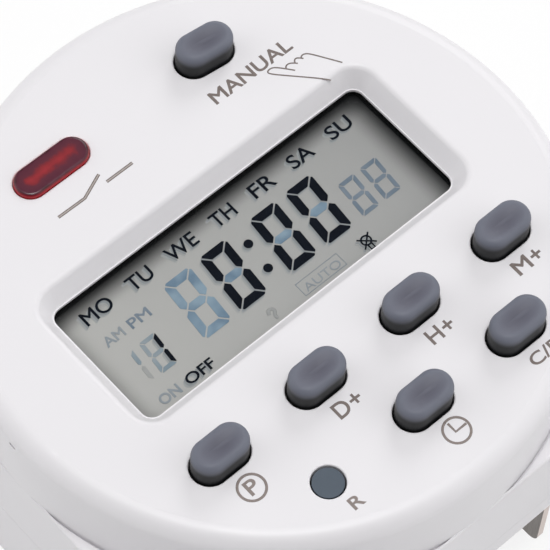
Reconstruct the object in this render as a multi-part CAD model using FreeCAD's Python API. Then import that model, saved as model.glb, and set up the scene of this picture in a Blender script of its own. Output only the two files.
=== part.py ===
import FreeCAD, Part
import math
import os

from FreeCAD import Vector

# Digital timer switch: a square box with a round raised face, eight rubber keys, a display
# and four blade terminals in a bay at the back. Sizes are in millimetres. The rear face is
# at z = 0, the face looks along +Z, the printed text runs along +X and +Y is the text's top.

# Case
case_side = 60.0
case_depth = 31.4
case_corner = 4.0
side_wall = 1.8
rear_wall = 1.6
rear_rounding = 0.8
seam_rounding = 0.3

# Front cover: a disc that stands on a square skirt and nearly reaches its sides
disc_inset = 0.05
disc_rise = 9.7
disc_rounding = 1.85
disc_wall = 2.1
disc_foot_inset = 0.02
disc_foot_height = 0.3
disc_groove_width = 0.2
disc_groove_depth = 0.45
face_wall = 2.4
skirt_rounding = 0.22
skirt_top_wall = 1.6
hole_rounding = 0.15
nick_width = 0.8
nick_height = 0.5
nick_depth = 0.7
nick_y = 0.9
nick_below_face = 2.45

# Tongue of the rear housing inside the skirt
tongue_height = 1.2
tongue_thickness = 0.9
tongue_root = 1.0
tongue_gap = 0.1

# Terminal bay along the lower edge of the rear
bay_height = 8.3
bay_depth = 8.5
ledge_cover = 1.4
barrier_thickness = 1.2
barrier_setback = 0.6

# Blade terminals
tab_width = 6.3
tab_thickness = 0.8
tab_side_gap = 6.8
tab_edge_setback = 0.1
tab_tip_height = 0.1
tab_tip_rounding = 1.2
tab_hole_diameter = 1.7
tab_hole_from_tip = 4.0
tab_leg_width = 2.6
tab_leg_tail = 0.8
tab_slot_gap = 0.1

# Display window with its sloping frame
window_margin = 10.87
window_above_keys = 7.53
window_below_upper = 10.97
window_corner = 1.2
bevel_width = 1.45
bevel_depth = 2.1
bevel_rounding = 0.7
window_ledge = 0.12
window_pane_overlap = 1.6
window_pane_thickness = 0.8

# Display stack, from the front
pane_to_display_gap = 0.1
polariser_thickness = 0.2
glass_thickness = 0.7
display_side_overlap = 1.55
display_end_overlap = 0.55
contact_ledge = 1.9
reflector_thickness = 0.25
holder_wall = 1.2
holder_gap = 0.1
holder_shelf = 1.0
contact_strip_width = 1.6
contact_strip_gap = 0.15

# Boards
board_thickness = 1.2
display_board_edge_gap = 0.6
display_board_depth = 8.5
power_board_gap = 0.7
power_board_thickness = 1.6
boss_clearance = 0.4

# Keys: a row of four, a row of three at the same pitch, and one above the window
key_length = 5.96
key_width = 3.52
key_proud = 2.85
key_hole_gap = 0.17
key_side_gap = 6.54
key_row_inset = 16.82
key_row_spacing = 8.05
key_upper_x = 9.5
key_upper_inset = 10.25
key_upper_turn = -7.0
key_travel = 1.0
key_travel_play = 0.1
key_lip = 0.3
key_lip_below_face_wall = 0.4
key_top_rounding = 0.7
key_dish_depth = 0.2
key_dish_rim = 0.75
reset_diameter = 3.0
reset_recess = 0.2
pill_diameter = 2.8
pill_thickness = 0.5
mat_thickness = 0.8
mat_gap = 0.25
mat_edge_gap = 0.25
mat_pad_width = 11.5
mat_pad_height = 7.6

# Indicator lamp
lens_length = 8.35
lens_width = 3.35
lens_gap = 0.05
lens_proud = 0.45
lens_flange = 0.8
lens_rounding = 0.4
lens_pocket_width = 1.7
lens_cap_thickness = 1.0
lamp_diameter = 3.0
lamp_height = 3.9
lamp_flange = 0.4
lamp_lead = 0.5
lamp_lead_pitch = 1.6
lamp_lens_gap = 0.3

# Screws and the bosses that take them
case_screw_inset = 4.4
case_boss_diameter = 5.6
rear_boss_diameter = 6.4
case_screw_diameter = 2.6
case_screw_head_diameter = 4.4
case_screw_head_height = 1.6
case_screw_bite = 7.0
case_screw_seat = 1.5
post_diameter = 3.2
post_lens_gap = 0.35
post_upper_inset = 2.46
post_key_gap = 0.62
post_lower_inset = 1.44
small_screw_diameter = 1.5
small_screw_head_diameter = 3.0
small_screw_head_height = 0.8
small_screw_bite = 4.0
screw_hole_gap = 0.15
slot_width = 0.5
slot_depth = 0.5
power_post_diameter = 4.0
power_post_x = 13.0
power_post_inset = 3.0

# Relay, which hangs behind the power board
relay_length = 28.6
relay_width = 12.4
relay_height = 12.6
relay_rear_gap = 0.3
relay_edge_gap = 2.2
relay_bay_gap = 4.1
relay_wall = 0.7
relay_base_thickness = 1.5
relay_fit = 0.05
bobbin_flange = 0.8
bobbin_width = 10.4
bobbin_barrel = 2.4
winding_radius = 3.6
core_radius = 1.5
pole_radius = 3.0
pole_thickness = 0.7
yoke_thickness = 1.2
yoke_width = 9.0
armature_thickness = 1.0
armature_width = 8.0
armature_air_gap = 0.5
armature_tail = 6.4
armature_seat_gap = 0.1
contact_leaf = 0.25
contact_leaf_width = 4.0
contact_button_radius = 1.2
contact_button_height = 0.5
contact_gap = 0.42
contact_end_room = 2.2

# Other parts on the power board
dropper_width = 8.4
dropper_rear_gap = 1.0
dropper_corner = 1.0
dropper_gap = 2.0
dropper_edge_gap = 4.2
smoothing_radius = 5.0
smoothing_rear_gap = 2.8
smoothing_edge_gap = 3.0
smoothing_relay_gap = 4.0
can_rounding = 0.5
varistor_radius = 4.5
varistor_thickness = 3.6
varistor_edge_gap = 2.25
varistor_wall_gap = 1.8
varistor_rounding = 1.0
fuse_radius = 1.6
fuse_length = 9.0
fuse_wall_gap = 0.6
resistor_radius = 1.1
resistor_length = 6.3
diode_radius = 1.1
diode_length = 4.6
resistor_count = 3
diode_count = 4
row_pitch = 2.6
row_gap = 1.2
lead_radius = 0.35
lead_reach = 1.6
transistor_width = 4.6
transistor_depth = 3.6
transistor_height = 4.6
transistor_pitch = 1.27
transistor_cell_gap = 0.8
transistor_relay_gap = 1.3
cell_radius = 7.7
cell_height = 6.1
cell_board_gap = 0.6
cell_relay_gap = 2.0
cell_tab = 0.3
cell_tab_gap = 0.15
cell_tab_width = 3.0
link_pins = 8
link_pitch = 2.54
link_pin = 0.6
link_hole_gap = 0.15
link_width = 2.2
link_inset = 3.25
link_tail = 0.7

# Parts on the back of the display board
blob_radius = 4.2
blob_height = 1.4
crystal_radius = 0.9
crystal_length = 6.0

# Levels and places worked out from the sizes above
cut = 1.0
flange_z = case_depth - disc_rise
face_under_z = case_depth - face_wall
half_side = case_side / 2
disc_radius = half_side - disc_inset
cavity_half = half_side - side_wall
cavity_corner = case_corner - side_wall
disc_cavity_radius = disc_radius - disc_wall
bay_wall_y = -half_side + bay_depth
ledge_z = bay_height + rear_wall
parting_z = ledge_z + ledge_cover
key_row_y = -disc_radius + key_row_inset
key_upper_y = disc_radius - key_upper_inset
key_row_reach = math.sqrt(disc_radius ** 2 - key_row_y ** 2)
key_pitch = (key_row_reach - key_side_gap - key_length / 2) / 1.5
window_low_y = key_row_y + window_above_keys
window_high_y = key_upper_y - window_below_upper
window_y = (window_low_y + window_high_y) / 2
window_height = window_high_y - window_low_y
window_width = 2 * (disc_radius - window_margin)
display_width = window_width + 2 * display_side_overlap
rear_glass_height = window_height + 2 * display_end_overlap
front_glass_height = rear_glass_height + 2 * contact_ledge
tab_pitch = (cavity_half - tab_side_gap) / 2
pane_z = face_under_z - window_pane_thickness
display_top_z = pane_z - pane_to_display_gap
front_glass_top_z = display_top_z - polariser_thickness
rear_glass_top_z = front_glass_top_z - glass_thickness
reflector_top_z = rear_glass_top_z - glass_thickness
shelf_top_z = reflector_top_z - reflector_thickness
display_board_top_z = case_depth - display_board_depth
display_board_z = display_board_top_z - board_thickness
display_board_radius = disc_cavity_radius - display_board_edge_gap
relay_z = rear_wall + relay_rear_gap
power_board_z = relay_z + relay_height
power_board_top_z = power_board_z + power_board_thickness
mat_top_z = display_board_top_z + mat_thickness
pill_z = display_board_top_z + key_travel + key_travel_play
key_z = pill_z + pill_thickness
key_lip_z = face_under_z - key_lip_below_face_wall
boss_at = half_side - case_screw_inset
power_board_half = cavity_half - power_board_gap
power_post_y = power_board_half - power_post_inset
link_y = display_board_radius - link_inset
bay_back_y = bay_wall_y + rear_wall
relay_base_z = power_board_z - relay_base_thickness
relay_right_x = power_board_half - relay_edge_gap
relay_left_x = relay_right_x - relay_length
relay_x = (relay_left_x + relay_right_x) / 2
relay_y = bay_back_y + relay_bay_gap + relay_width / 2
relay_side_y = relay_y + relay_width / 2


def block(x0, x1, y0, y1, z0, z1):
    """Box between two corners."""
    return Part.makeBox(x1 - x0, y1 - y0, z1 - z0, Vector(x0, y0, z0))


def rod(radius, x, y, z0, z1):
    """Upright cylinder."""
    return Part.makeCylinder(radius, z1 - z0, Vector(x, y, z0))


def bar(radius, x0, x1, y, z):
    """Cylinder that lies along X."""
    return Part.makeCylinder(radius, x1 - x0, Vector(x0, y, z), Vector(1, 0, 0))


def outline(width, height, corner, x, y, z):
    """Closed wire of a rectangle with round corners, centred on x, y."""
    arcs = []
    for quarter in range(4):
        side_x = 1 if quarter in (0, 3) else -1
        side_y = 1 if quarter in (0, 1) else -1
        centre = Vector(x + side_x * (width / 2 - corner), y + side_y * (height / 2 - corner), z)
        arcs.append(Part.makeCircle(corner, centre, Vector(0, 0, 1), 90 * quarter, 90 * quarter + 90))
    edges = []
    for arc, following in zip(arcs, arcs[1:] + arcs[:1]):
        edges.append(arc)
        start = arc.valueAt(arc.LastParameter)
        end = following.valueAt(following.FirstParameter)
        if (end - start).Length > 1e-6:
            edges.append(Part.makeLine(start, end))
    return Part.Wire(edges)


def plate(width, height, corner, x, y, z0, z1):
    """Upright prism of a rectangle with round corners."""
    return Part.Face(outline(width, height, corner, x, y, z0)).extrude(Vector(0, 0, z1 - z0))


def stadium(length, width, x, y, z0, z1):
    """Upright prism with a straight middle and half-round ends."""
    return plate(length, width, width / 2 - 1e-4, x, y, z0, z1)


def turned(shape, x, y, angle):
    """The shape turned about the upright line through x, y."""
    shape.rotate(Vector(x, y, 0), Vector(0, 0, 1), angle)
    return shape


def taper(lower, upper):
    """Solid between two wires at different heights."""
    return Part.makeLoft([lower, upper], True, True)


def fillet_at(shape, z, radius, keep=None):
    """Rounds the edges that lie in the plane z, or those of them that keep accepts."""
    edges = []
    for edge in shape.Edges:
        box = edge.BoundBox
        level = abs(box.ZMin - z) < 1e-4 and abs(box.ZMax - z) < 1e-4
        if level and (keep is None or keep(box)):
            edges.append(edge)
    return shape.makeFillet(radius, edges)


def joined(shapes):
    """One solid from overlapping shapes."""
    return shapes[0].fuse(shapes[1:]).removeSplitter()


def corners():
    """Centres of the four case screws."""
    return [(x * boss_at, y * boss_at) for x in (-1, 1) for y in (-1, 1)]


def display_posts():
    """Centres of the four posts that carry the display board, beside the lens and the end keys."""
    upper_x = key_upper_x + lens_length / 2 + lens_flange + post_lens_gap + post_diameter / 2
    lower_x = 1.5 * key_pitch + key_length / 2 + key_lip + post_key_gap + post_diameter / 2
    upper_y = math.sqrt((display_board_radius - post_upper_inset) ** 2 - upper_x ** 2)
    lower_y = math.sqrt((display_board_radius - post_lower_inset) ** 2 - lower_x ** 2)
    upper = [(x * upper_x, upper_y) for x in (-1, 1)]
    lower = [(x * lower_x, -lower_y) for x in (-1, 1)]
    return upper + lower


def barrier_places():
    """X of the three walls between the terminals."""
    return [place * 1.5 * tab_pitch for place in (-1, 0, 1)]


def tab_places():
    """X of each blade terminal, with one place left free in the middle."""
    return {
        "tab_supply_live": -2 * tab_pitch,
        "tab_supply_neutral": -tab_pitch,
        "tab_contact_common": tab_pitch,
        "tab_contact_open": 2 * tab_pitch,
    }


def power_posts():
    """Posts of the rear housing: x, y, foot height, and whether a screw or a peg is on it."""
    lower_x = 1.5 * tab_pitch
    return [
        (-power_post_x, power_post_y, rear_wall, "screw"),
        (power_post_x, power_post_y, rear_wall, "peg"),
        (-lower_x, -power_post_y, ledge_z, "peg"),
        (lower_x, -power_post_y, ledge_z, "screw"),
    ]


def key_places():
    """Centre of each oblong key, and how far it is turned from lying along X."""
    second_row = key_row_y - key_row_spacing
    return {
        "program": (-1.5 * key_pitch, key_row_y, 0),
        "day": (-0.5 * key_pitch, key_row_y, 0),
        "hour": (0.5 * key_pitch, key_row_y, 0),
        "minute": (1.5 * key_pitch, key_row_y, 0),
        "clock": (0, second_row, 0),
        "recall": (key_pitch, second_row, 0),
        "manual": (key_upper_x, key_upper_y, key_upper_turn),
    }


def reset_place():
    """Centre of the round reset key."""
    return (-key_pitch, key_row_y - key_row_spacing)


def link_places():
    """X of each pin between the two boards."""
    first = -link_pitch * (link_pins - 1) / 2
    return [first + link_pitch * number for number in range(link_pins)]


# The cover's outer form: the disc's wall stands on a low tapered foot that meets the four sides,
# with a narrow groove round it in each corner of the skirt.
def cover_outside():
    skirt = plate(case_side, case_side, case_corner, 0, 0, parting_z, flange_z)
    skirt = fillet_at(skirt, flange_z, skirt_rounding)
    foot_z = flange_z - disc_groove_depth
    flat_half = half_side - skirt_rounding
    groove = rod(half_side + disc_groove_width, 0, 0, foot_z, flange_z + cut)
    groove = groove.common(block(-flat_half, flat_half, -flat_half, flat_half, foot_z, flange_z + cut))
    skirt = skirt.cut(groove)
    foot_top_z = flange_z + disc_foot_height
    foot = Part.makeCone(half_side - disc_foot_inset, disc_radius, foot_top_z - foot_z,
                         Vector(0, 0, foot_z))
    disc = rod(disc_radius, 0, 0, foot_top_z, case_depth)
    disc = fillet_at(disc, case_depth, disc_rounding)
    return joined([skirt, foot, disc])


# The window is a straight opening with a narrow ledge, below a frame that slopes down to it.
def window_cutter():
    slope_foot_z = case_depth - bevel_depth
    opening = plate(window_width, window_height, window_corner, 0, window_y,
                    face_under_z - cut, slope_foot_z + cut)
    foot = outline(window_width + 2 * window_ledge, window_height + 2 * window_ledge,
                   window_corner + window_ledge, 0, window_y, slope_foot_z)
    head = outline(window_width + 2 * bevel_width, window_height + 2 * bevel_width,
                   window_corner + bevel_width, 0, window_y, case_depth)
    return [opening, taper(foot, head)]


def key_holes():
    holes = []
    for x, y, turn in key_places().values():
        hole = stadium(key_length + 2 * key_hole_gap, key_width + 2 * key_hole_gap,
                       x, y, face_under_z - cut, case_depth + cut)
        holes.append(turned(hole, x, y, turn))
    x, y = reset_place()
    holes.append(rod(reset_diameter / 2 + key_hole_gap, x, y, face_under_z - cut, case_depth + cut))
    return holes


def lens_hole():
    return stadium(lens_length + 2 * lens_gap, lens_width + 2 * lens_gap,
                   -key_upper_x, key_upper_y, face_under_z - cut, case_depth + cut)


# The small mark that the mould leaves in the left side of the disc's wall.
def wall_nick():
    z = case_depth - nick_below_face
    return block(-disc_radius - cut, -disc_radius + nick_depth, nick_y - nick_width / 2,
                 nick_y + nick_width / 2, z - nick_height / 2, z + nick_height / 2)


# Front cover: one white moulding, screwed to the rear housing at its four corners.
def front_cover():
    room = plate(2 * cavity_half, 2 * cavity_half, cavity_corner, 0, 0,
                 parting_z - cut, flange_z - skirt_top_wall)
    disc_room = rod(disc_cavity_radius, 0, 0, flange_z - skirt_top_wall, face_under_z)
    cover = cover_outside().cut([room, disc_room])
    bosses = []
    for x, y in corners():
        bosses.append(rod(case_boss_diameter / 2, x, y, parting_z, flange_z - skirt_top_wall / 2))
    for x, y in display_posts():
        bosses.append(rod(post_diameter / 2, x, y, display_board_top_z, face_under_z + face_wall / 2))
    cover = joined([cover] + bosses)
    cover = cover.cut(window_cutter() + key_holes() + [lens_hole(), wall_nick()])
    pilots = []
    for x, y in corners():
        pilots.append(rod(case_screw_diameter / 2, x, y, parting_z - cut, parting_z + case_screw_bite))
    for x, y in display_posts():
        pilots.append(rod(small_screw_diameter / 2, x, y, display_board_top_z - cut,
                          display_board_top_z + small_screw_bite))
    cover = cover.cut(pilots)
    frame_half = window_width / 2 + bevel_width

    def frame_edge(box):
        return box.XMax < frame_half + 1e-3 and box.YMax < window_y + window_height / 2 + bevel_width + 1e-3 \
            and box.YMin > window_y - window_height / 2 - bevel_width - 1e-3

    def hole_edge(box):
        return box.XMax - box.XMin < lens_length + 1 and not frame_edge(box)

    cover = fillet_at(cover, case_depth, bevel_rounding, frame_edge)
    return fillet_at(cover, case_depth, hole_rounding, hole_edge)


# Rear housing: a tray with the terminal bay, posts for the power board and a tongue.
def rear_housing():
    tray = plate(case_side, case_side, case_corner, 0, 0, 0, parting_z)
    tray = fillet_at(tray, 0, rear_rounding)
    tray = fillet_at(tray, parting_z, seam_rounding)
    main_room = plate(2 * cavity_half, 2 * cavity_half, cavity_corner, 0, 0, rear_wall, parting_z + cut)
    behind_bay = block(-half_side, half_side, bay_wall_y + rear_wall, half_side, 0, parting_z + 2 * cut)
    over_bay = plate(2 * cavity_half, 2 * cavity_half, cavity_corner, 0, 0, ledge_z, parting_z + cut)
    bay = block(-cavity_half, cavity_half, -half_side - cut, bay_wall_y, -cut, bay_height)
    tray = tray.cut([main_room.common(behind_bay), over_bay, bay])
    pieces = [tray, tongue()]
    for x in barrier_places():
        half = barrier_thickness / 2
        pieces.append(block(x - half, x + half, -half_side + barrier_setback,
                            bay_wall_y + rear_wall / 2, tab_tip_height, bay_height + rear_wall / 2))
    for x, y in corners():
        foot = bay_height if y < 0 else 0
        pieces.append(rod(rear_boss_diameter / 2, x, y, foot, parting_z))
    for x, y, foot, kind in power_posts():
        pieces.append(rod(power_post_diameter / 2, x, y, foot - rear_wall / 2, power_board_z))
        if kind == "peg":
            pieces.append(rod(small_screw_diameter / 2, x, y, power_board_z - cut, power_board_top_z))
    housing = joined(pieces)
    return housing.cut(rear_screw_holes() + tab_slots())


def tongue():
    """Thin upright rim on the housing's walls, open round the cover's four bosses."""
    outer = 2 * (cavity_half - tongue_gap)
    inner = outer - 2 * tongue_thickness
    root = 2 * cavity_half + side_wall
    top = parting_z + tongue_height
    rim = plate(outer, outer, cavity_corner, 0, 0, parting_z - tongue_root, top)
    rim = rim.fuse(plate(root, root, cavity_corner, 0, 0, parting_z - tongue_root, parting_z))
    rooms = [plate(inner, inner, cavity_corner, 0, 0, parting_z - 2 * tongue_root, top + cut)]
    for x, y in corners():
        rooms.append(rod(case_boss_diameter / 2 + boss_clearance, x, y, parting_z, top + cut))
    return rim.cut(rooms)


def rear_screw_holes():
    """Stepped holes for the case screws and pilot holes for the power board screws."""
    holes = []
    for x, y in corners():
        holes.append(rod(case_screw_diameter / 2 + screw_hole_gap, x, y, -cut, parting_z + cut))
        holes.append(rod(case_screw_head_diameter / 2 + screw_hole_gap, x, y, -cut,
                         parting_z - case_screw_seat))
    for x, y, foot, kind in power_posts():
        if kind == "screw":
            holes.append(rod(small_screw_diameter / 2, x, y, power_board_z - small_screw_bite,
                             power_board_z + cut))
    return holes


def tab_leg_span():
    """Y range of a terminal's leg."""
    inner = -half_side + tab_edge_setback + tab_width
    return inner - tab_leg_width, inner


def tab_slots():
    y0, y1 = tab_leg_span()
    half = tab_thickness / 2 + tab_slot_gap
    slots = []
    for x in tab_places().values():
        slots.append(block(x - half, x + half, y0 - tab_slot_gap, y1 + tab_slot_gap,
                           bay_height - cut, ledge_z + cut))
    return slots


# Blade terminal: a blade with a rounded tip, whose leg goes through the ledge to the power board.
def blade_tab(x):
    y0 = -half_side + tab_edge_setback
    y1 = y0 + tab_width
    leg_y0, leg_y1 = tab_leg_span()
    top = power_board_top_z + tab_leg_tail
    tip = tab_tip_height
    points = [
        (y0, tip), (y1, tip), (y1, bay_height), (leg_y1, top),
        (leg_y0, top), (leg_y0, bay_height), (y0, bay_height),
    ]
    points = [point for number, point in enumerate(points) if point != points[number - 1]]
    corners_3d = [Vector(x - tab_thickness / 2, y, z) for y, z in points]
    blade = Part.Face(Part.makePolygon(corners_3d + corners_3d[:1])).extrude(Vector(tab_thickness, 0, 0))
    blade = fillet_at(blade, tip, tab_tip_rounding, lambda box: box.YMax - box.YMin < tab_tip_rounding / 2)
    hole = Part.makeCylinder(tab_hole_diameter / 2, tab_thickness + 2 * cut,
                             Vector(x - tab_thickness / 2 - cut, (y0 + y1) / 2, tip + tab_hole_from_tip),
                             Vector(1, 0, 0))
    return blade.cut(hole)


def display_window():
    return plate(window_width + 2 * window_pane_overlap, window_height + 2 * window_pane_overlap,
                 window_corner, 0, window_y, pane_z, face_under_z)


def display_layer(height, top, thickness):
    """One flat layer of the display stack."""
    half = display_width / 2
    return block(-half, half, window_y - height / 2, window_y + height / 2, top - thickness, top)


# Holder: a frame round the glass with a shelf under the reflector, open above the strips.
def lcd_holder():
    half_x = display_width / 2 + holder_gap
    half_y = front_glass_height / 2 + holder_gap
    wall = holder_wall
    frame = block(-half_x - wall, half_x + wall, window_y - half_y - wall, window_y + half_y + wall,
                  display_board_top_z, front_glass_top_z)
    room = block(-half_x, half_x, window_y - half_y, window_y + half_y,
                 display_board_top_z - cut, front_glass_top_z + cut)
    shelf_half = rear_glass_height / 2
    shelf = block(-half_x - wall / 2, half_x + wall / 2, window_y - shelf_half, window_y + shelf_half,
                  shelf_top_z - holder_shelf, shelf_top_z)
    return joined([frame.cut(room), shelf])


def zebra_strips():
    """Two rubber strips that join the glass to the display board."""
    half = display_width / 2
    inner = rear_glass_height / 2 + contact_strip_gap
    strips = []
    for side in (-1, 1):
        centre = window_y + side * (inner + contact_strip_width / 2)
        strips.append(block(-half, half, centre - contact_strip_width / 2, centre + contact_strip_width / 2,
                            display_board_top_z, rear_glass_top_z))
    return Part.makeCompound(strips)


def link_holes(z0, z1):
    radius = link_pin / math.sqrt(2) + link_hole_gap
    return [rod(radius, x, link_y, z0, z1) for x in link_places()]


def display_board():
    board = rod(display_board_radius, 0, 0, display_board_z, display_board_top_z)
    holes = link_holes(display_board_z - cut, display_board_top_z + cut)
    for x, y in display_posts():
        holes.append(rod(small_screw_diameter / 2 + screw_hole_gap, x, y,
                         display_board_z - cut, display_board_top_z + cut))
    return board.cut(holes)


# Power board: square, with its corners cut off square to clear the case screws' bosses.
def power_board():
    half = power_board_half
    board = block(-half, half, -half, half, power_board_z, power_board_top_z)
    low = power_board_z - cut
    high = power_board_top_z + cut
    holes = link_holes(low, high)
    notch = boss_at - case_boss_diameter / 2 - boss_clearance
    for side_x in (-1, 1):
        for side_y in (-1, 1):
            x0, x1 = sorted((side_x * notch, side_x * half_side))
            y0, y1 = sorted((side_y * notch, side_y * half_side))
            holes.append(block(x0, x1, y0, y1, low, high))
    for x, y, foot, kind in power_posts():
        holes.append(rod(small_screw_diameter / 2 + screw_hole_gap, x, y, low, high))
    y0, y1 = tab_leg_span()
    reach = tab_thickness / 2 + tab_slot_gap
    for x in tab_places().values():
        holes.append(block(x - reach, x + reach, y0 - tab_slot_gap, y1 + tab_slot_gap, low, high))
    return board.cut(holes)


def board_link_header():
    half = link_pitch * link_pins / 2
    body = block(-half, half, link_y - link_width / 2, link_y + link_width / 2,
                 power_board_top_z, display_board_z)
    pins = [link_pin_at(x, power_board_top_z - cut, display_board_z + cut) for x in link_places()]
    return body.cut(pins)


def link_pin_at(x, z0, z1):
    half = link_pin / 2
    return block(x - half, x + half, link_y - half, link_y + half, z0, z1)


def board_link_pins():
    low = power_board_z - link_tail
    high = display_board_top_z + link_tail
    return Part.makeCompound([link_pin_at(x, low, high) for x in link_places()])


# Rubber key: a dished oblong top that stands proud of the face, on a wider lip below it.
def oblong_key(x, y):
    top = case_depth + key_proud
    stem = stadium(key_length, key_width, x, y, key_lip_z - cut, top)
    stem = fillet_at(stem, top, key_top_rounding)
    lip = stadium(key_length + 2 * key_lip, key_width + 2 * key_lip, x, y, key_z, key_lip_z)
    rim = key_dish_rim
    dish_radius = (key_width / 2 - rim) ** 2 / (2 * key_dish_depth) + key_dish_depth / 2
    dish_z = top - key_dish_depth + dish_radius
    straight = (key_length - key_width) / 2
    groove = bar(dish_radius, x - straight, x + straight, y, dish_z)
    ends = [Part.makeSphere(dish_radius, Vector(x + side * straight, y, dish_z)) for side in (-1, 1)]
    limit = stadium(key_length - 2 * rim + 2 * key_dish_depth, key_width - 2 * rim + 2 * key_dish_depth,
                    x, y, top - key_dish_depth - cut, top + cut)
    dish = groove.fuse(ends).common(limit)
    return joined([stem, lip]).cut(dish)


def round_key(x, y):
    stem = rod(reset_diameter / 2, x, y, key_lip_z - cut, case_depth - reset_recess)
    lip = rod(key_width / 2 + key_lip, x, y, key_z, key_lip_z)
    return joined([stem, lip])


def carbon_pill(x, y):
    return rod(pill_diameter / 2, x, y, pill_z, key_z)


# Keypad mat: the flat web of the keypad, with a clear hole round each key's foot.
def keypad_mat():
    radius = disc_cavity_radius - mat_edge_gap
    holder_foot = window_y - front_glass_height / 2 - holder_gap - holder_wall
    disc = rod(radius, 0, 0, display_board_top_z, mat_top_z)
    below = block(-radius, radius, -radius, holder_foot - mat_edge_gap, 0, case_depth)
    pad = plate(mat_pad_width, mat_pad_height, mat_edge_gap * 2, key_upper_x, key_upper_y,
                display_board_top_z, mat_top_z)
    holes = []
    for x, y, turn in key_places().values():
        grow = 2 * (key_lip + mat_gap)
        hole = stadium(key_length + grow, key_width + grow, x, y, display_board_top_z - cut, mat_top_z + cut)
        holes.append(turned(hole, x, y, turn))
    x, y = reset_place()
    holes.append(rod(key_width / 2 + key_lip + mat_gap, x, y, display_board_top_z - cut, mat_top_z + cut))
    for x, y in display_posts():
        holes.append(rod(post_diameter / 2 + mat_gap, x, y, display_board_top_z - cut, mat_top_z + cut))
    return Part.makeCompound([disc.common(below).cut(holes), pad.cut(holes)])


# Lamp lens: red oblong window with a long pocket behind it, on a flange under the face.
def led_lens():
    top = case_depth + lens_proud
    low = face_under_z - lens_flange
    body = stadium(lens_length, lens_width, -key_upper_x, key_upper_y, low, top)
    body = fillet_at(body, top, lens_rounding)
    flange = stadium(lens_length + 2 * lens_flange, lens_width + 2 * lens_flange,
                     -key_upper_x, key_upper_y, low, face_under_z)
    straight = lens_length - lens_width
    pocket = stadium(straight + lens_pocket_width, lens_pocket_width, -key_upper_x, key_upper_y,
                     low - cut, top - lens_cap_thickness)
    return joined([body, flange]).cut(pocket)


def led_lamp():
    x = -key_upper_x
    y = key_upper_y
    top = face_under_z - lens_flange - lamp_lens_gap
    foot = top - lamp_height
    radius = lamp_diameter / 2
    body = rod(radius, x, y, foot, top - radius)
    dome = Part.makeSphere(radius, Vector(x, y, top - radius))
    flange = rod(radius + lamp_flange, x, y, foot, foot + lamp_flange)
    pieces = [body, dome, flange]
    half = lamp_lead / 2
    for side in (-1, 1):
        lead_x = x + side * lamp_lead_pitch / 2
        pieces.append(block(lead_x - half, lead_x + half, y - half, y + half,
                            display_board_top_z, foot + half))
    return joined(pieces)


def controller_blob():
    sphere_radius = (blob_radius ** 2 + blob_height ** 2) / (2 * blob_height)
    ball = Part.makeSphere(sphere_radius, Vector(0, 0, display_board_z + sphere_radius - blob_height))
    return ball.common(block(-blob_radius, blob_radius, -blob_radius, blob_radius,
                             display_board_z - blob_height, display_board_z))


def quartz_crystal():
    x = blob_radius + 2 * crystal_radius
    return bar(crystal_radius, x, x + crystal_length, 0, display_board_z - crystal_radius)


def screw(x, y, seat, direction, shank, shank_length, head, head_height):
    """Screw whose head rests on the level seat and whose shank runs along the direction in Z."""
    tip = seat + direction * shank_length
    back = seat - direction * head_height
    body = rod(shank / 2, x, y, min(seat, tip), max(seat, tip))
    cap = rod(head / 2, x, y, min(seat, back), max(seat, back))
    slot_floor = back + direction * slot_depth
    slot = block(x - head, x + head, y - slot_width / 2, y + slot_width / 2,
                 min(back - direction * cut, slot_floor), max(back - direction * cut, slot_floor))
    return body.fuse(cap).removeSplitter().cut(slot)


def case_screws():
    seat = parting_z - case_screw_seat
    reach = case_screw_seat + case_screw_bite - screw_hole_gap
    return Part.makeCompound([
        screw(x, y, seat, 1, case_screw_diameter, reach, case_screw_head_diameter, case_screw_head_height)
        for x, y in corners()
    ])


def display_board_screws():
    reach = board_thickness + small_screw_bite - screw_hole_gap
    return Part.makeCompound([
        screw(x, y, display_board_z, 1, small_screw_diameter, reach,
              small_screw_head_diameter, small_screw_head_height)
        for x, y in display_posts()
    ])


def power_board_screws():
    reach = power_board_thickness + small_screw_bite - screw_hole_gap
    return Part.makeCompound([
        screw(x, y, power_board_top_z, -1, small_screw_diameter, reach,
              small_screw_head_diameter, small_screw_head_height)
        for x, y, foot, kind in power_posts() if kind == "screw"
    ])


# Relay: places along its length and height, shared by its inner pieces.
yoke_back_x = relay_left_x + relay_wall + relay_fit
bobbin_x = yoke_back_x + yoke_thickness
contact_end_x = relay_right_x - relay_wall - relay_fit
button_x = contact_end_x - contact_end_room - contact_button_radius
armature_x = button_x - armature_tail
pole_x = armature_x - armature_air_gap
bobbin_end_x = pole_x - pole_thickness
yoke_z = relay_z + relay_wall + relay_fit
yoke_top_z = yoke_z + yoke_thickness
coil_z = (yoke_top_z + relay_base_z) / 2
hinge_z = yoke_top_z
tail_top_z = hinge_z + armature_seat_gap


def relay_box(inset, z0, z1):
    half_x = relay_length / 2 - inset
    half_y = relay_width / 2 - inset
    return block(relay_x - half_x, relay_x + half_x, relay_y - half_y, relay_y + half_y, z0, z1)


def relay_case():
    room = relay_box(relay_wall, relay_z + relay_wall, power_board_z + cut)
    return relay_box(0, relay_z, power_board_z).cut(room)


def relay_base():
    return relay_box(relay_wall + relay_fit, relay_base_z, power_board_z)


def relay_bobbin():
    half = bobbin_width / 2
    pieces = [bar(bobbin_barrel, bobbin_x, bobbin_end_x, relay_y, coil_z)]
    for x in (bobbin_x, bobbin_end_x - bobbin_flange):
        pieces.append(block(x, x + bobbin_flange, relay_y - half, relay_y + half, yoke_top_z, relay_base_z))
    bore = bar(core_radius + relay_fit, bobbin_x - cut, bobbin_end_x + cut, relay_y, coil_z)
    return joined(pieces).cut(bore)


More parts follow.
